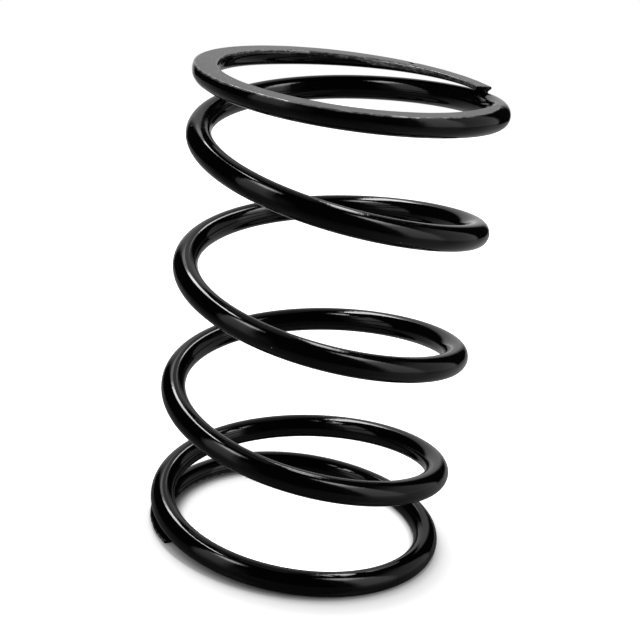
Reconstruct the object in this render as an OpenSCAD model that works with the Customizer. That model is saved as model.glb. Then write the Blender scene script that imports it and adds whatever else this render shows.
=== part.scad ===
// Left-hand wound compression spring for a belt-drive clutch.
// Round wire, both ends closed and ground flat, standing on its lower ground face.
// Millimetres, Z up. The coils run round the Z axis and the lower face lies at Z = 0.

/* [Spring] */
// Free length, from ground face to ground face
free_length = 97; // [75:0.5:150]
// Outside diameter of the coils
outer_d = 62; // [45:0.5:90]
// Diameter of the wire
wire_d = 5; // [3:0.1:6]
// Coils in all, from one cut end of the wire to the other
total_coils = 5.53; // [4.5:0.01:7.5]
// Where the lower cut end lies round the axis, in degrees
start_angle = 215; // [0:1:359]

/* [Lower end] */
// Thickness that grinding leaves at the lower tip
low_tip = 0.8; // [0.4:0.1:2]
// Clearance between the lower tip and the coil over it
low_gap = 0.5; // [0.2:0.1:1.5]
// Rise per turn of the closed coil
low_rise = 2.6; // [0.5:0.1:3]
// Turn over which the wire bends down to its tip, in degrees
low_bend_angle = 130; // [80:2:180]
// Turn from the tip to where the coil starts to open, in degrees
low_closed = 219; // [180:1:240]
// Turn over which it opens to the full pitch, in degrees
low_open = 312; // [200:2:360]

/* [Upper end] */
// Thickness that grinding leaves at the upper tip
up_tip = 1.1; // [0.4:0.1:2]
// Clearance between the upper tip and the coil under it
up_gap = 0.3; // [0.2:0.1:1.5]
// Rise per turn of the closed coil
up_rise = 0.9; // [0.5:0.1:3]
// Turn over which the wire bends up to its tip, in degrees
up_bend_angle = 108; // [80:2:180]
// Turn from the tip to where the coil starts to open, in degrees
up_closed = 213; // [180:1:240]
// Turn over which it opens to the full pitch, in degrees
up_open = 279; // [200:1:360]

/* [Finish] */
// Sides of the wire's round section
sides = 24; // [12:4:24]
// Sections of wire from one end to the other
sections = 242; // [160:1:242]
// Colour of the coating
coat = "#161616"; // [#161616, #3c3f42, #8a1f1f]

/* [Hidden] */
wire_r = wire_d / 2;
// Radius of the coils, on the wire's centre line
coil_r = outer_d / 2 - wire_r;
// Whole turn of the wire in degrees, from the lower tip to the upper
sweep = total_coils * 360;
// Height of the wire's centre line at its two tips, outside the ground faces
low_z = low_tip - wire_r;
up_z = free_length - up_tip + wire_r;
// Turn above the lower tip at which the upper coil starts to close
up_start = sweep - up_closed - up_open;

// Smooth step from 0 to 1, and the area under it
function ease(u) = u <= 0 ? 0 : u >= 1 ? 1 : u * u * (3 - 2 * u);
function area(u) = u <= 0 ? 0 : u >= 1 ? u - 0.5 : u * u * u * (1 - u / 2);

// Turns at an end that keep its small rise, half of the opening included
function slow(closed, open) = (closed + open / 2) / 360;
// Turns at full pitch that the opening has gained, one turn in from the tip
function gained(closed, open) = area((360 - closed) / open) * open / 360;

low_slow = slow(low_closed, low_open);
up_slow = slow(up_closed, up_open);
low_gained = gained(low_closed, low_open);
up_gained = gained(up_closed, up_open);
// One turn in from its tip the wire has passed its own diameter and the clearance
low_step = wire_d + low_gap - low_rise * (1 - low_gained);
up_step = wire_d + up_gap - up_rise * (1 - up_gained);
// Full pitch: the height that is left, over the turns that are left
pitch = (up_z - low_z - low_step - up_step - low_rise * low_slow - up_rise * up_slow)
    / (total_coils - low_slow - up_slow - low_gained - up_gained);
// How far the wire bends at each tip to close on the next coil
low_bend = low_step - pitch * low_gained;
up_bend = up_step - pitch * up_gained;

// Height of the wire's centre line, a degrees of turn from the lower tip
function height(a) = low_z + low_rise * a / 360
    + (pitch - low_rise) * low_open / 360 * area((a - low_closed) / low_open)
    - (pitch - up_rise) * up_open / 360 * area((a - up_start) / up_open)
    + low_bend * (1 - ease(1 - a / low_bend_angle))
    + up_bend * ease(1 - (sweep - a) / up_bend_angle);

// Slope of the wire there
function slope(a) = atan2(height(a + 0.5) - height(a - 0.5), coil_r * PI / 180);

// Round section, square to the wire. A left-hand coil turns clockwise as it climbs.
function section(a) = let (turn = start_angle - a, tilt = slope(a), z = height(a))
    [for (i = [0 : sides - 1])
        let (t = 360 * i / sides,
            r = coil_r + wire_r * cos(t),
            lean = wire_r * sin(t) * sin(tilt))
        [r * cos(turn) - lean * sin(turn),
         r * sin(turn) + lean * cos(turn),
         z + wire_r * sin(t) * cos(tilt)]];

// Wire as it leaves the coiler, with square-cut ends
module coiled_wire() {
    points = [for (k = [0 : sections]) each section(sweep * k / sections)];
    skin = [for (k = [0 : sections - 1], i = [0 : sides - 1])
        let (a = k * sides + i, b = k * sides + (i + 1) % sides)
        each [[a, b, b + sides], [a, b + sides, a + sides]]];
    low_cut = [for (i = [1 : sides]) sides - i];
    up_cut = [for (i = [0 : sides - 1]) sections * sides + i];
    polyhedron(points, concat([low_cut, up_cut], skin), convexity = 10);
}

// Stock that one pass of the grinding wheel takes off, from z up
module ground_off(z) {
    translate([0, 0, z]) linear_extrude(wire_d) square(outer_d + wire_d, center = true);
}

module spring() {
    color(coat) difference() {
        coiled_wire();
        ground_off(-wire_d);
        ground_off(free_length);
    }
}

spring();
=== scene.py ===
import functools
import math

import bmesh
import bpy
import numpy as np
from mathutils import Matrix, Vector, noise


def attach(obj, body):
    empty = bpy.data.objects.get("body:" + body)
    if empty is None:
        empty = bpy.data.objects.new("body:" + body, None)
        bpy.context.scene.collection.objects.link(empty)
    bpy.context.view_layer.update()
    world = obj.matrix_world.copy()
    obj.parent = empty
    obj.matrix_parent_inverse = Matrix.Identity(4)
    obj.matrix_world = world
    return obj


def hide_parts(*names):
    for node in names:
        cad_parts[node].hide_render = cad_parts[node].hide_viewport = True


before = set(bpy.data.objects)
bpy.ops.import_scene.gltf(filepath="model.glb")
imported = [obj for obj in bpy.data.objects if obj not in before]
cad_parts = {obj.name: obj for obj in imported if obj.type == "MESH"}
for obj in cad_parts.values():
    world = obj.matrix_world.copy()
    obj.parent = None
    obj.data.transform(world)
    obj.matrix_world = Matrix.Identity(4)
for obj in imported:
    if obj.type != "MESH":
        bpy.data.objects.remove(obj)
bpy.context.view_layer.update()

# ---------------------------------------------------------------- coil, as in the part's source
MM = 0.001
WIRE_R = 2.5 * MM
# Radius of the coils on the wire's centre line, and free length
COIL_R = 28.5 * MM
FREE = 97.0 * MM
# Coils from one cut end to the other, and where the lower one lies round the axis, in degrees
COILS = 5.53
START = 215.0
SWEEP = COILS * 360.0
# Each end: thickness of its tip, clearance to the next coil and rise per turn of the closed coil,
# then the turns over which the wire bends to the tip, stays closed and opens
LOW = {"tip": 0.8 * MM, "gap": 0.5 * MM, "rise": 2.6 * MM,
       "bend_angle": 130.0, "closed": 219.0, "open": 312.0}
UP = {"tip": 1.1 * MM, "gap": 0.3 * MM, "rise": 0.9 * MM,
      "bend_angle": 108.0, "closed": 213.0, "open": 279.0}


def ease(u):
    """Smooth step from 0 to 1."""
    u = min(max(u, 0.0), 1.0)
    return u * u * (3 - 2 * u)


def area(u):
    """Area under the smooth step, up to u."""
    if u <= 0:
        return 0.0
    return u - 0.5 if u >= 1 else u ** 3 * (1 - u / 2)


def solve_coil():
    """Height of the centre line at the lower tip and full pitch, and how far each end bends."""
    for end in (LOW, UP):
        end["slow"] = (end["closed"] + end["open"] / 2) / 360
        end["gained"] = area((360 - end["closed"]) / end["open"]) * end["open"] / 360
        end["step"] = 2 * WIRE_R + end["gap"] - end["rise"] * (1 - end["gained"])
    low_z = LOW["tip"] - WIRE_R
    up_z = FREE - UP["tip"] + WIRE_R
    left = up_z - low_z - sum(e["step"] + e["rise"] * e["slow"] for e in (LOW, UP))
    pitch = left / (COILS - sum(e["slow"] + e["gained"] for e in (LOW, UP)))
    for end in (LOW, UP):
        end["bend"] = end["step"] - pitch * end["gained"]
    return low_z, pitch


LOW_Z, PITCH = solve_coil()
UP_START = SWEEP - UP["closed"] - UP["open"]


def height(a):
    """Height of the wire's centre line, a degrees of turn from the lower tip."""
    z = LOW_Z + LOW["rise"] * a / 360
    z += (PITCH - LOW["rise"]) * LOW["open"] / 360 * area((a - LOW["closed"]) / LOW["open"])
    z -= (PITCH - UP["rise"]) * UP["open"] / 360 * area((a - UP_START) / UP["open"])
    z += LOW["bend"] * (1 - ease(1 - a / LOW["bend_angle"]))
    z += UP["bend"] * ease(1 - (SWEEP - a) / UP["bend_angle"])
    return z


# How far the wound wire runs off its true form, in mm out from the axis and up, in equal steps
# from tip to tip
AS_WOUND = (
    (-0.02, 0.21), (-0.06, 0.55), (-0.02, 0.24), (-0.02, 0.23), (-0.11, 0.31), (-0.15, 0.28),
    (-0.12, 0.26), (-0.08, 0.28), (-0.08, 0.31), (-0.09, 0.36), (-0.07, 0.30), (-0.11, 0.19),
    (-0.16, 0.12), (-0.10, 0.11), (-0.02, 0.11), (-0.02, 0.05), (-0.10, 0.01), (-0.18, 0.03),
    (-0.12, 0.22), (-0.03, 0.51), (-0.02, 0.39), (-0.02, 0.20), (-0.02, 0.10), (-0.02, 0.08),
    (-0.02, 0.09), (-0.21, 0.15), (-0.40, -0.2))
# Share of the turn up to which the curve through the table is followed
AS_WOUND_END = 0.9999


def as_wound(a):
    """The two offsets at a degrees of turn, on a smooth curve through the table."""
    last = len(AS_WOUND) - 1
    u = min(max(a / SWEEP, 0.0), AS_WOUND_END) * last
    i, t = int(u), u - int(u)
    four = [AS_WOUND[min(max(i + k, 0), last)] for k in (-1, 0, 1, 2)]
    return [0.5 * MM * (2 * q + (r - p) * t + (2 * p - 5 * q + 4 * r - s) * t ** 2
                        + (3 * q - p - 3 * r + s) * t ** 3)
            for p, q, r, s in zip(*four)]


def at(a, r, z):
    """The point a degrees of turn from the lower tip, r from the axis and z up."""
    turn = math.radians(START - a)
    return Vector((r * math.cos(turn), r * math.sin(turn), z))


def centre(a):
    """The wire's centre line, a degrees of turn from the lower tip."""
    out, up = as_wound(a)
    return at(a, COIL_R + out, height(a) + up)


# ---------------------------------------------------------------- wire
# Points in one section of the wire
SIDES = 64
# Turns at which the real wire was cut, a little off the true ends
WIRE_START, WIRE_END = 4.8, SWEEP + 2.3
# Turn that the wheel has touched at each end, with room to spare, and the turn from section to
# section at the lower end, between the ends and at the upper end
GROUND_TURN = 335.0
STEPS = (1.5, 3.6, 0.6)
# Turn to either side over which the wire's direction is taken
NEAR = 0.4
# Round of the rims of the ground faces, and its unevenness: share, waves per degree, row of noise
RIM = 0.32 * MM
RIM_WAVES = ((0.35, 0.11, 3.0), (0.12, 0.6, 8.0))
# Largest round of a rim, as a share of the thickness that grinding has left
RIM_LIMIT = 0.35
# The upper inner rim is rounder still by the cut end: how much, and the turns before that end
# where it starts to be and where it is
TIP_RIM, TIP_RIM_TURN = 4.0, (68.0, 40.0)
# Part of the upper inner rim that is rounder and whole in its coat: turn before the upper cut
# end, half its length, how much rounder
FULL_RIM = (93.0, 38.0, 1.6)
# The coat is nearly whole again on the last of the upper rims: how much less is bare, and the
# turns before the cut end where it starts to be and where it is
WHOLE_TIP, WHOLE_TIP_TURN = 0.7, (52.0, 32.0)
# How much closer the rows of points lie on a rim than elsewhere, and how wide they do
RIM_ROWS = 8.0
RIM_BAND = 0.3 * MM
# Turn from each end in which they do, and the turn over which they spread out after it
LOW_ROWS_TURN, UP_ROWS_TURN, SPREAD_TURN = 420.0, 560.0, 180.0
# Steps in which half a section is walked to place its points
WALK_STEPS = 500
# Widths over which the mark of the rim and the mark of the ground face fade, and the thickness
# ground off from which both are full
RIM_FADE, FACE_FADE, TOUCHED = 0.12 * MM, 0.15 * MM, 0.1 * MM
# Round of a cut end's edge, and the bends at which its sections lie
CUT_ROUND = 0.16 * MM
CUT_BENDS = (30, 60, 90)
# A nick across the outer half of the upper ground face: its middle, half its length and half its
# width as its dark part, which is painted shade, shows them, and its depth
NICK = at(SWEEP - 41.3, 29.5 * MM, FREE)
NICK_LONG, NICK_WIDE, NICK_DEPTH = 1.3 * MM, 0.3 * MM, 0.25 * MM
# A run of coating from the upper cut end to the coil under it: where it stands, its radius and
# sides, and how it rises, in mm, and spreads, step by step
RUN_FOOT = at(SWEEP + 1.0, 29.55 * MM, FREE - 1.65 * MM)
RUN_R = 0.36 * MM
RUN_SIDES = 24
RUN_STEPS = ((0.22, 0.62), (0.2, 0.85), (0.22, 1.1), (0.2, 1.35), (0.2, 1.4))
# Edges that bend more than this stay sharp
SHARP = 40


def ring_turns():
    """Turns at which the wire gets a section, closest where the upper end is ground."""
    ends = (WIRE_START, GROUND_TURN, SWEEP - GROUND_TURN, WIRE_END)
    turns = [WIRE_START]
    for start, end, step in zip(ends, ends[1:], STEPS):
        count = math.ceil((end - start) / step)
        turns += [start + (end - start) * k / count for k in range(1, count + 1)]
    return turns


def half_section(cut, rim, rows):
    """Half the wire's section, from its round side to the middle of a face ground at height cut.

    Each point is (out, up, how much it belongs to the rim, how much to the ground face).
    """
    cut = min(cut, WIRE_R)
    corner_up = cut - rim
    corner_out = math.sqrt(max((WIRE_R - rim) ** 2 - corner_up ** 2, 0.0))
    start = math.atan2(corner_up, corner_out)
    lengths = (WIRE_R * (start + math.pi / 2), rim * (math.pi / 2 - start), corner_out)
    middle = lengths[0] + lengths[1] / 2
    walk = np.linspace(0, sum(lengths), WALK_STEPS)
    close = 1 + rows * np.exp(-((walk - middle) / RIM_BAND) ** 2)
    count = np.concatenate([[0], np.cumsum((close[1:] + close[:-1]) / 2)])
    touched = min(rows, 1.0) * ease((WIRE_R - cut) / TOUCHED)
    points = []
    for u in np.interp(np.linspace(0, count[-1], SIDES // 2 + 1), count, walk):
        if u < lengths[0]:
            t = u / WIRE_R - math.pi / 2
            place = (WIRE_R * math.cos(t), WIRE_R * math.sin(t))
        elif u < lengths[0] + lengths[1]:
            t = start + (u - lengths[0]) / rim
            place = (corner_out + rim * math.cos(t), corner_up + rim * math.sin(t))
        else:
            place = (max(sum(lengths) - u, 0.0), cut)
        on_rim = 1 - ease((abs(u - middle) - lengths[1] / 2) / RIM_FADE)
        on_face = ease((u - middle) / FACE_FADE + 0.5)
        points.append((*place, on_rim * touched, on_face * touched))
    return points


def two_halves(a, z, tilt):
    """Outer and inner half of the section at a degrees of turn, centred at height z."""
    rim = RIM * sum((share * noise.noise(Vector((a * often, row, 0.0)))
                     for share, often, row in RIM_WAVES), 1)
    back = SWEEP - a
    if a < SWEEP / 2:
        rows = RIM_ROWS * (1 - ease((a - LOW_ROWS_TURN) / SPREAD_TURN))
        half = half_section(z / math.cos(tilt), rim, rows)
        half = [(out, -up, *marks) for out, up, *marks in reversed(half)]
        return half, half
    rows = RIM_ROWS * (1 - ease((back - UP_ROWS_TURN) / SPREAD_TURN))
    cut = (FREE - z) / math.cos(tilt)
    middle, half_long, rounder = FULL_RIM
    full = ease(1 - abs(back - middle) / half_long)
    first, last = TIP_RIM_TURN
    by_tip = ease((first - back) / (first - last))
    inner_rim = min(rim * (1 + rounder * full + TIP_RIM * by_tip), RIM_LIMIT * (WIRE_R + cut))
    inner = [(out, up, on_rim * (1 - full), on_face)
             for out, up, on_rim, on_face in half_section(cut, max(rim, inner_rim), rows)]
    return half_section(cut, rim, rows), inner


def ring(a):
    """One section of the wire, ground by the wheel's two planes: places and their two marks."""
    c, ahead, behind = centre(a), centre(a + NEAR), centre(a - NEAR)
    tilt = math.atan2(ahead.z - behind.z, math.hypot(ahead.x - behind.x, ahead.y - behind.y))
    outer, inner = two_halves(a, c.z, tilt)
    outline = outer + [(-out, up, *marks) for out, up, *marks in reversed(inner[1:-1])]
    turn = math.radians(START - a)
    side = Vector((math.cos(turn), math.sin(turn), 0))
    lean = Vector((-math.sin(turn), math.cos(turn), 0))
    first, last = WHOLE_TIP_TURN
    bare = 1 - WHOLE_TIP * ease((first - (SWEEP - a)) / (first - last))
    points = []
    for out, up, on_rim, on_face in outline:
        place = c + side * out + lean * (up * math.sin(tilt))
        place += Vector((0, 0, up * math.cos(tilt)))
        dent = ease(1 - (place - NICK).length / NICK_LONG)
        place.z -= NICK_DEPTH * dent
        points.append((place, on_rim * bare, on_face * (1 - dent)))
    return points


def rounded_end(a, away):
    """Sections that take the wire round the edge of its cut end, away from the wire."""
    flat = [place for place, *_ in ring(a)]
    along = (centre(a + NEAR) - centre(a - NEAR)).normalized() * away
    rings = []
    for bend in CUT_BENDS:
        ahead = along * (CUT_ROUND * math.sin(math.radians(bend)))
        inset = CUT_ROUND * (1 - math.cos(math.radians(bend)))
        rings.append([])
        for i, place in enumerate(flat):
            edge = flat[(i + 1) % SIDES] - flat[i - 1]
            inward = along.cross(edge).normalized() * away
            rings[-1].append((place + ahead + inward * inset, 0.0, 0.0))
    return rings


def clear_selection():
    if bpy.context.object and bpy.context.object.mode != "OBJECT":
        bpy.ops.object.mode_set(mode="OBJECT")
    bpy.ops.object.select_all(action="DESELECT")


def activate(obj):
    clear_selection()
    obj.select_set(True)
    bpy.context.view_layer.objects.active = obj


def face_outward(obj):
    """Turns all faces of the piece to its outside."""
    activate(obj)
    bpy.ops.object.mode_set(mode="EDIT")
    bpy.ops.mesh.select_all(action="SELECT")
    bpy.ops.mesh.normals_make_consistent(inside=False)
    bpy.ops.object.mode_set(mode="OBJECT")


def coil_wire():
    """The wire, swept section by section, so that its rims keep their own small round."""
    shell = bmesh.new()
    rim_layer = shell.verts.layers.float.new("rim")
    face_layer = shell.verts.layers.float.new("ground")
    sections = rounded_end(WIRE_START, -1)[::-1]
    sections += [ring(a) for a in ring_turns()]
    sections += rounded_end(WIRE_END, 1)
    rings = []
    for section in sections:
        rings.append([])
        for place, on_rim, on_face in section:
            point = shell.verts.new(place)
            point[rim_layer], point[face_layer] = on_rim, on_face
            rings[-1].append(point)
    for near, far in zip(rings, rings[1:]):
        for i in range(SIDES):
            j = (i + 1) % SIDES
            shell.faces.new((near[i], near[j], far[j], far[i]))
    shell.faces.new(rings[0])
    shell.faces.new(rings[-1])
    mesh = bpy.data.meshes.new("coiled_wire")
    shell.to_mesh(mesh)
    shell.free()
    wire = bpy.data.objects.new("coiled_wire", mesh)
    bpy.context.scene.collection.objects.link(wire)
    face_outward(wire)
    return wire


def coating_run():
    """The run of coating, drawn up out of one disc."""
    clear_selection()
    bpy.ops.mesh.primitive_circle_add(
        vertices=RUN_SIDES, radius=RUN_R, fill_type="NGON", location=RUN_FOOT)
    run = bpy.context.object
    bpy.ops.object.mode_set(mode="EDIT")
    bpy.ops.mesh.select_all(action="SELECT")
    for rise, spread in RUN_STEPS:
        bpy.ops.mesh.extrude_region_move(TRANSFORM_OT_translate={"value": (0, 0, rise * MM)})
        bpy.ops.transform.resize(value=(spread, spread, 1))
    bpy.ops.object.mode_set(mode="OBJECT")
    face_outward(run)
    return run


run = coating_run()
wire = coil_wire()
activate(wire)
run.select_set(True)
bpy.ops.object.join()
bpy.ops.object.shade_smooth_by_angle(angle=math.radians(SHARP))
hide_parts("spring")
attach(wire, "root")


# ---------------------------------------------------------------- finish of the wire
class Nodes:
    """The nodes of a material or a world, with sums and steps written as calls."""

    def __init__(self, owner):
        owner.use_nodes = True
        self.nodes, self.links = owner.node_tree.nodes, owner.node_tree.links

    def new(self, kind, **settings):
        node = self.nodes.new("ShaderNode" + kind)
        for name, value in settings.items():
            setattr(node, name, value)
        return node

    def plug(self, value, socket):
        """Links a socket, or sets a constant."""
        if isinstance(value, bpy.types.NodeSocket):
            self.links.new(value, socket)
        else:
            socket.default_value = value

    def calc(self, op, *values):
        node = self.new("Math", operation=op)
        for value, socket in zip(values, node.inputs):
            self.plug(value, socket)
        return node.outputs[0]

    def total(self, *terms):
        return functools.reduce(functools.partial(self.calc, "ADD"), terms)

    def product(self, *terms):
        return functools.reduce(functools.partial(self.calc, "MULTIPLY"), terms)

    def length(self, x, y):
        return self.calc("SQRT", self.total(self.product(x, x), self.product(y, y)))

    def off(self, x, middle):
        """How far x is from the middle, to either side."""
        return self.calc("ABSOLUTE", self.calc("SUBTRACT", x, middle))

    def grade(self, x, x0, x1, y0=0.0, y1=1.0):
        """Smooth step of x from y0 at x0 to y1 at x1."""
        node = self.new("MapRange", interpolation_type="SMOOTHSTEP")
        for socket, value in zip(node.inputs[:5], (x, x0, x1, y0, y1)):
            self.plug(value, socket)
        return node.outputs[0]

    def band(self, x, low, high):
        """1 between two soft edges, each given as (outside, inside)."""
        return self.product(self.grade(x, *low), self.grade(x, *high))

    def either(self, share, a, b):
        """a where share is 0, b where it is 1."""
        node = self.new("Mix", data_type="FLOAT")
        for value, socket in zip((share, a, b), (node.inputs[0], *node.inputs[2:4])):
            self.plug(value, socket)
        return node.outputs[0]

    def split(self, vector):
        node = self.new("SeparateXYZ")
        self.plug(vector, node.inputs[0])
        return node.outputs

    def join(self, *values):
        node = self.new("CombineXYZ")
        for value, socket in zip(values, node.inputs):
            self.plug(value, socket)
        return node.outputs[0]

    def grain(self, place, size, detail, rough):
        """Noise from 0 to 1 with patches of the given size."""
        node = self.new("TexNoise")
        self.plug(place, node.inputs["Vector"])
        node.inputs["Scale"].default_value = 1 / size
        node.inputs["Detail"].default_value = detail
        node.inputs["Roughness"].default_value = rough
        return node.outputs[0]

    def mark(self, name):
        return self.new("Attribute", attribute_name=name).outputs["Fac"]

    def bump(self, height, depth, under=None):
        node = self.new("Bump")
        node.inputs["Distance"].default_value = depth
        self.plug(height, node.inputs["Height"])
        if under:
            self.plug(under, node.inputs["Normal"])
        return node.outputs[0]


# Patterns: size of a patch, levels of detail, how strong the small ones are
PEEL = (0.8 * MM, 3.0, 0.55)
WAVES = (5 * MM, 1.0, 0.5)
PATCHES = (2.4 * MM, 3.0, 0.5)
WHEEL_MARKS = (0.3 * MM, 2.0, 0.5)
MOTTLE = (1.8 * MM, 4.0, 0.65)
FLECKS = (0.4 * MM, 2.0, 0.5)
# The last three are drawn out along the turn, which counts for this share of its true length
WHEEL_MARKS_DRAWN, MOTTLE_DRAWN, FLECKS_DRAWN = 0.12, 0.6, 0.3
PEEL_DEPTH, WAVES_DEPTH, WHEEL_MARKS_DEPTH = 0.012 * MM, 0.02 * MM, 0.012 * MM
# Specks of dust: size of the cells that may hold one, its soft edge as shares of that, from which
# lots on a cell does, and its height
SPECK_CELL, SPECK_EDGE, SPECK_LOTS, SPECK_DEPTH = 4.2 * MM, (0.05, 0.02), (0.7, 0.72), 0.05 * MM
# Steps of a pattern: where it starts, where it ends, roughness or grey before it and after it
COAT_ROUGH = (0.35, 0.68, 0.018, 0.035)
FACE_ROUGH = (0.35, 0.65, 0.03, 0.15)
FACE_GREY = (0.35, 0.7, 0.016, 0.05)
# The same for how much of the metal shows through on the rims
RIM_BARE = (0.47, 0.64, 0.1, 0.5)
COAT_GREY, SPECK_GREY, METAL_GREY = 0.001, 0.08, 0.5
# The nick's dark part is painted shade: rougher, and with an IOR of 1 the coat mirrors nothing
# there
WORN_ROUGH, NICK_SHADE_ROUGH = 0.25, 0.5
COAT_IOR, NICK_SHADE_IOR = 1.37, 1.0
# Where the soft edge of the nick's dark part of painted shade ends, times its half width and half
# length, and the depths under the face between which it comes
NICK_EDGE_WIDE, NICK_EDGE_LONG, NICK_UNDER = 1.5, 1.3, (1.0 * MM, 0.6 * MM)


def nick_painted_shade_mask(f, x, y, z):
    """1 in the dark part of the nick, where shade is painted."""
    across = f.grade(f.off(x, NICK.x), NICK_EDGE_WIDE * NICK_WIDE, NICK_WIDE)
    along = f.grade(f.off(y, NICK.y), NICK_EDGE_LONG * NICK_LONG, NICK_LONG)
    return f.product(across, along, f.grade(z, *(FREE - under for under in NICK_UNDER)))


def dust(f, place):
    """1 on the specks of dust."""
    cell = f.new("TexVoronoi")
    f.plug(place, cell.inputs["Vector"])
    cell.inputs["Scale"].default_value = 1 / SPECK_CELL
    lot = f.new("SeparateColor")
    f.plug(cell.outputs["Color"], lot.inputs[0])
    return f.product(
        f.grade(cell.outputs["Distance"], *SPECK_EDGE), f.grade(lot.outputs[0], *SPECK_LOTS))


def gloss_black():
    """Gloss black coat: fine orange peel, dust, satin on the ground faces, thin on their rims, and
    painted shade in a nick.
    """
    material = bpy.data.materials.new("gloss_black_coating")
    f = Nodes(material)
    surface = f.nodes["Principled BSDF"].inputs
    rim, ground = f.mark("rim"), f.mark("ground")
    place = f.new("TexCoord").outputs["Object"]
    x, y, z = f.split(place)
    # the wheel's marks run round the axis, so they are laid out along the turn and across it
    across = f.length(x, y)
    along = f.product(f.calc("ARCTAN2", y, x), COIL_R)

    def drawn_out(share):
        return f.join(f.product(along, share), across, z)

    wheel_marks = f.grain(drawn_out(WHEEL_MARKS_DRAWN), *WHEEL_MARKS)
    mottle = f.grain(drawn_out(MOTTLE_DRAWN), *MOTTLE)
    flecks = f.grain(drawn_out(FLECKS_DRAWN), *FLECKS)
    speck = dust(f, place)
    # painted shade in the nick's dark part
    nick_shade = nick_painted_shade_mask(f, x, y, z)
    # bright flecks where the coat is thin on the rims
    thin = f.product(rim, f.grade(flecks, *RIM_BARE))

    normal = f.bump(f.grain(place, *PEEL), PEEL_DEPTH)
    normal = f.bump(f.grain(place, *WAVES), WAVES_DEPTH, normal)
    normal = f.bump(f.product(wheel_marks, ground), WHEEL_MARKS_DEPTH, normal)
    f.plug(f.bump(speck, SPECK_DEPTH, normal), surface["Normal"])
    f.plug(f.total(
        f.grade(f.grain(place, *PATCHES), *COAT_ROUGH),
        f.product(ground, f.grade(mottle, *FACE_ROUGH)),
        f.product(f.total(speck, thin), WORN_ROUGH),
        f.product(nick_shade, NICK_SHADE_ROUGH)), surface["Roughness"])
    f.plug(f.grade(nick_shade, 0.0, 1.0, COAT_IOR, NICK_SHADE_IOR), surface["IOR"])
    haze = f.product(ground, f.grade(mottle, *FACE_GREY))
    grey = f.total(COAT_GREY, haze, f.product(speck, SPECK_GREY))
    # a colour mix has its share in socket 0 and its two colours in 6 and 7
    tone = f.new("Mix", data_type="RGBA")
    f.plug(thin, tone.inputs[0])
    f.plug(f.join(grey, grey, grey), tone.inputs[6])
    tone.inputs[7].default_value = (METAL_GREY, METAL_GREY, METAL_GREY, 1)
    f.plug(tone.outputs[2], surface["Base Color"])
    f.plug(thin, surface["Metallic"])
    return material


wire.data.materials.clear()
wire.data.materials.append(gloss_black())

# ---------------------------------------------------------------- camera
CAMERA_PLACE = (-4.854 * MM, -284.25 * MM, 149.684 * MM)
CAMERA_TURN = (70.0020, -7.2733, 1.6781)
SENSOR = 36.0
LENS = 83.365
CLIP_START = 0.01

clear_selection()
bpy.ops.object.camera_add(
    location=CAMERA_PLACE, rotation=[math.radians(a) for a in CAMERA_TURN])
camera = bpy.context.object
camera.data.sensor_width = SENSOR
camera.data.lens = LENS
camera.data.clip_start = CLIP_START
bpy.context.scene.camera = camera

# ---------------------------------------------------------------- table
TABLE_R = 0.45
TABLE_SIDES = 128
TABLE_COLOUR = 0.85
# As the camera sees it the table is white, with a painted shadow: a dark ring in its colour under
# the coil. Middle of the rings of colour, then radius where a step starts, radius where it ends,
# what it adds before it and after it
PAINTED_SHADOW_MIDDLE = (0.0008, -0.0006, 0.0)
TABLE_SEEN_SHADOW_INSIDE = (0.0234, 0.0270, 1.85, 0.12)
TABLE_SEEN_SHADOW_OUTSIDE = (0.0262, 0.0325, 0.0, 1.36)
# As the gloss mirrors it the table is a darker copy with painted light and shade: dark in front,
# lighter to the back and to the right, dimmer far out. A step each: its colour from front to back
# in y, what it gains to the right in x, and the share that is left of both away from the middle,
# by radius
TABLE_GLOSS_PAINTED_SHADE_Y = (-0.04, 0.16, 0.12, 0.42)
TABLE_GLOSS_PAINTED_LIGHT_X = (0.01, 0.105, 0.0, 0.145)
TABLE_GLOSS_PAINTED_SHADE_FAR = (0.05, 0.3, 1.0, 0.5)
TABLE_ROUGH, TABLE_SHINE = 0.22, 0.22


def table_top():
    """The table's colour: one to the camera, with a painted shadow under the coil, one to the
    light, and one in the wire's gloss, a darker copy with painted light and shade.
    """
    material = bpy.data.materials.new("pale_table_top")
    t = Nodes(material)
    ray = t.new("LightPath").outputs
    place = t.new("TexCoord").outputs["Object"]
    x, y, _ = t.split(place)
    reach = t.new("VectorMath", operation="DISTANCE")
    t.plug(place, reach.inputs[0])
    t.plug(PAINTED_SHADOW_MIDDLE, reach.inputs[1])
    radius = reach.outputs["Value"]
    seen = t.calc("MAXIMUM", ray["Is Camera Ray"], ray["Is Transmission Ray"])
    # white to the camera, with a painted shadow: a dark ring of colour under the coil
    pale = t.total(t.grade(radius, *TABLE_SEEN_SHADOW_INSIDE), t.grade(radius, *TABLE_SEEN_SHADOW_OUTSIDE))
    matt = t.new("BsdfDiffuse")
    t.plug(t.either(seen, TABLE_COLOUR, pale), matt.inputs["Color"])
    # painted light and shade in the table as the gloss mirrors it: darker in front, lighter to the
    # back and right
    near = t.total(t.grade(y, *TABLE_GLOSS_PAINTED_SHADE_Y), t.grade(x, *TABLE_GLOSS_PAINTED_LIGHT_X))
    polished = t.nodes["Principled BSDF"]
    t.plug(t.product(near, t.grade(radius, *TABLE_GLOSS_PAINTED_SHADE_FAR)), polished.inputs["Base Color"])
    polished.inputs["Roughness"].default_value = TABLE_ROUGH
    polished.inputs["Specular IOR Level"].default_value = TABLE_SHINE
    pick = t.new("MixShader")
    sources = (ray["Is Glossy Ray"], matt.outputs[0], polished.outputs[0])
    for source, socket in zip(sources, pick.inputs):
        t.plug(source, socket)
    t.plug(pick.outputs[0], t.nodes["Material Output"].inputs["Surface"])
    return material


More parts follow.
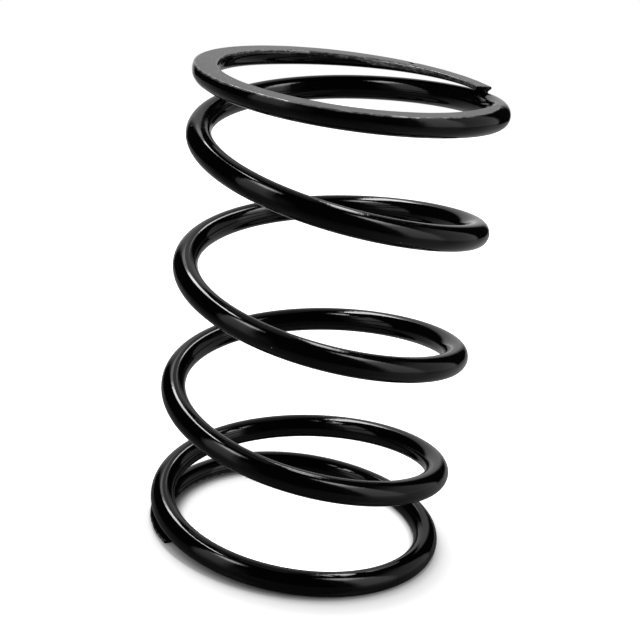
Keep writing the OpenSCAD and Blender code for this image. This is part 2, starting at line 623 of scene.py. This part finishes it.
clear_selection()
bpy.ops.mesh.primitive_circle_add(
    vertices=TABLE_SIDES, radius=TABLE_R, fill_type="NGON", location=(0, 0, 0))
table = bpy.context.object
table.name = "pale_table"
table.data.materials.append(table_top())

# ---------------------------------------------------------------- room
# Brightness of the room for all that is matt, and as the camera sees it behind the table
ROOM_LIGHT = 0.6
ROOM_SEEN = 1.0
# The gloss mirrors a dark room instead, with boxes, panels and strips of light in it
ROOM_IN_GLOSS = 0.006
# Boxes and panels stand round the table. Each has a left and a right edge, by bearing from the
# camera's side, + to its right, then a lower and an upper edge, by height above the horizon. All
# edges are soft, (outside, inside), in degrees
FROM_TABLE = (-16, 0)
LEFT_BOX = ((-76.5, -70), (-38, -53), FROM_TABLE, (75, 62))
LEFT_SPILL = ((-60, -46), (-22, -38), FROM_TABLE, (52, 14))
RIGHT_BOX = ((49, 62), (91, 83), FROM_TABLE, (76, 64))
RIGHT_SPILL = ((34, 46), (66, 54), FROM_TABLE, (70, 60))
SIDE_PANEL = ((84, 90), (132, 127), (-16, -4), (54, 30))
LEFT_SPILL_LIGHT, RIGHT_SPILL_LIGHT, SIDE_PANEL_LIGHT = 0.15, 0.06, 0.5
# Light of a box: gain per degree of height, brightness at the horizon, then the bright part near
# its top: height where that starts, height where it is full, what it adds before and after
LEFT_BOX_LIGHT = (0.017, 0.74, (46, 60, 0.0, 4.3))
RIGHT_BOX_LIGHT = (0.016, 1.12, (44, 62, 0.0, 4.4))
# The boxes stand farther apart at the top: heights between which they part, degrees for each
PARTING = (34, 64)
LEFT_BOX_PARTS, RIGHT_BOX_PARTS = -5.0, 9.0
# The backdrop and the table's far edge lie at this bearing. Each has a soft edge to either side,
# soft edges in height and a brightness, which on the backdrop is a step in height
BEHIND = 185.5
BACKDROP_SIDE, BACKDROP_FOOT, BACKDROP_LIGHT = (26, 15), (-16, -12), (30, 56, 0.56, 0.25)
EDGE_SIDE, EDGE_HEIGHT, EDGE_LIGHT = (15, 8), ((-16, -12), (1, -4)), 0.22
# Lamps and strips are laid out on a ceiling one unit up, x to the right and y to the back. It ends
# near the horizon: least upward part of a direction that meets it, and the soft edge
CEILING_LOW, CEILING_EDGE = 0.02, (0.0, 0.05)
# Lamps in the boxes' tops: x, y, brightness, then the soft edge of each
LAMPS = ((-0.46, -0.24, 6.0), (0.5, -0.07, 2.5))
LAMP_EDGE = (0.2, 0.06)
# Strips: soft left and right edges in x, then the soft near and far edges in y of the bright near
# part and of the dim far part
LEFT_STRIP = (((-0.49, -0.42), (-0.31, -0.385)),
              ((0.06, 0.18), (1.18, 0.95)), ((1.0, 1.15), (1.8, 1.3)))
RIGHT_STRIP = (((0.16, 0.22), (0.36, 0.27)),
               ((0.34, 0.54), (1.24, 1.02)), ((1.0, 1.1), (1.8, 1.3)))
# The left one's edges run askew: how far to the left each runs per unit of y, and from which y
LEFT_STRIP_SKEW = ((0.19, 0.3), (-0.04, 0.0))
# Brightness of the near parts, on the left as a step in y, and of the far parts
LEFT_STRIP_LIGHT, RIGHT_STRIP_LIGHT, FAR_STRIP_LIGHT = (0.25, 0.55, 26.0, 15.5), 11.0, 1.4
# A lamp over the table that neither the camera nor the gloss sees: watts, size, place
OVERHEAD_W = 8.0
OVERHEAD_SIZE = 0.36
OVERHEAD_PLACE = (-0.05, 0.08, 1.2)


def boxes(w, bearing, rise):
    """Boxes, panels and backdrop round the table."""
    parting = w.grade(rise, *PARTING)

    def panel(edges, light, parts=None):
        left, right, low, high = edges
        here = w.calc("SUBTRACT", bearing, w.product(parting, parts)) if parts else bearing
        return w.product(w.band(here, left, right), w.band(rise, low, high), light)

    def box_light(gain, horizon, top):
        return w.total(w.product(rise, gain), horizon, w.grade(rise, *top))

    behind = w.off(w.calc("FLOORED_MODULO", bearing, 360.0), BEHIND)
    return w.total(
        panel(LEFT_BOX, box_light(*LEFT_BOX_LIGHT), LEFT_BOX_PARTS),
        panel(LEFT_SPILL, LEFT_SPILL_LIGHT),
        panel(RIGHT_BOX, box_light(*RIGHT_BOX_LIGHT), RIGHT_BOX_PARTS),
        panel(RIGHT_SPILL, RIGHT_SPILL_LIGHT),
        panel(SIDE_PANEL, SIDE_PANEL_LIGHT),
        w.product(w.grade(behind, *BACKDROP_SIDE), w.grade(rise, *BACKDROP_FOOT),
                  w.grade(rise, *BACKDROP_LIGHT)),
        w.product(w.grade(behind, *EDGE_SIDE), w.band(rise, *EDGE_HEIGHT), EDGE_LIGHT))


def ceiling(w, dx, dy, dz):
    """Lamps and strips over the table."""
    over = w.calc("MAXIMUM", dz, CEILING_LOW)
    x, y = w.calc("DIVIDE", dx, over), w.calc("DIVIDE", dy, over)
    inside = w.grade(dz, *CEILING_EDGE)

    def lamp(lamp_x, lamp_y, light):
        off = w.length(w.calc("SUBTRACT", x, lamp_x), w.calc("SUBTRACT", y, lamp_y))
        return w.product(w.grade(off, *LAMP_EDGE), inside, light)

    def askew(slope, start):
        return w.total(x, w.product(w.calc("SUBTRACT", y, start), slope))

    def strip(left, right, near, near_light, far):
        return w.product(left, right, inside, w.total(
            w.product(w.band(y, *near), near_light), w.product(w.band(y, *far), FAR_STRIP_LIGHT)))

    sides, near, far = LEFT_STRIP
    left_sides = [w.grade(askew(*skew), *side) for skew, side in zip(LEFT_STRIP_SKEW, sides)]
    left_strip = strip(*left_sides, near, w.grade(y, *LEFT_STRIP_LIGHT), far)
    sides, near, far = RIGHT_STRIP
    right_sides = [w.grade(x, *side) for side in sides]
    right_strip = strip(*right_sides, near, RIGHT_STRIP_LIGHT, far)
    return w.total(*(lamp(*spot) for spot in LAMPS), left_strip, right_strip)


def light_room():
    """The world: even light on all that is matt, and the room that the gloss mirrors."""
    world = bpy.data.worlds.new("studio")
    bpy.context.scene.world = world
    w = Nodes(world)
    dx, dy, dz = w.split(w.new("TexCoord").outputs["Generated"])
    degrees = 180 / math.pi
    bearing = w.product(w.calc("ARCTAN2", dx, w.product(dy, -1.0)), degrees)
    rise = w.product(w.calc("ARCSINE", dz), degrees)
    mirrored = w.total(boxes(w, bearing, rise), ceiling(w, dx, dy, dz), ROOM_IN_GLOSS)
    ray = w.new("LightPath").outputs
    seen = w.calc("MAXIMUM", ray["Is Camera Ray"], ray["Is Transmission Ray"])
    light = w.either(seen, w.either(ray["Is Glossy Ray"], ROOM_LIGHT, mirrored), ROOM_SEEN)
    background = w.nodes["Background"].inputs
    background["Color"].default_value = (1, 1, 1, 1)
    w.plug(light, background["Strength"])


light_room()
clear_selection()
bpy.ops.object.light_add(type="AREA", location=OVERHEAD_PLACE)
overhead = bpy.context.object
overhead.name = "overhead_soft_box"
overhead.data.shape = "DISK"
overhead.data.size = OVERHEAD_SIZE
overhead.data.energy = OVERHEAD_W
overhead.rotation_euler = (-Vector(OVERHEAD_PLACE)).to_track_quat("-Z", "Y").to_euler()
overhead.visible_glossy = False
overhead.visible_camera = False

bpy.context.scene.view_settings.view_transform = "Standard"
